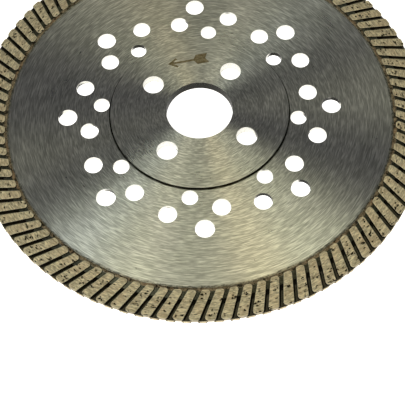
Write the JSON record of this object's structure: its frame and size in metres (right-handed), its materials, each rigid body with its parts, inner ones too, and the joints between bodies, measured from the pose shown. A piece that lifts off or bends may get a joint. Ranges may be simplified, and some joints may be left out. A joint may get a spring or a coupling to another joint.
{
  "type": "diamond blade",
  "caption": "Turbo-rim diamond cutting disc for an angle grinder: steel core with cooling holes, hub plates with bore and screw holes, and leaning diamond teeth around the edge.",
  "frame": {"origin": "centre of the bore, half way through the blade's thickness", "axes": "+Z along the spin axis, out of the front face that carries the direction arrow; the blade lies flat in XY, with the arrow at +Y and the four screw holes at 45 degrees between the axes"},
  "size_m": [0.15, 0.15, 0.0032],
  "materials": {
    "core_steel": "ground in circles round the bore",
    "hub_steel": "ground in circles round the bore",
    "braze": "as cast, hidden",
    "sintered_web": "as sintered, matt",
    "bronze_bond": "as sintered, rough",
    "diamond_teeth": "ground, with open pores and grit"
  },
  "bodies": {
    "root": {"core_disc": "core_steel", "front_hub_plate": "hub_steel", "rear_hub_plate": "hub_steel", "front_hub_braze": "braze", "rear_hub_braze": "braze", "rim_web": "sintered_web", "front_bond_ring": "bronze_bond", "rear_bond_ring": "bronze_bond", "front_teeth_1": "diamond_teeth", "front_teeth_2": "diamond_teeth", "front_teeth_3": "diamond_teeth", "front_teeth_4": "diamond_teeth", "front_teeth_5": "diamond_teeth", "front_teeth_6": "diamond_teeth", "front_teeth_7": "diamond_teeth", "front_teeth_8": "diamond_teeth", "rear_teeth_1": "diamond_teeth", "rear_teeth_2": "diamond_teeth", "rear_teeth_3": "diamond_teeth", "rear_teeth_4": "diamond_teeth", "rear_teeth_5": "diamond_teeth", "rear_teeth_6": "diamond_teeth", "rear_teeth_7": "diamond_teeth", "rear_teeth_8": "diamond_teeth"}
  },
  "joints": []
}
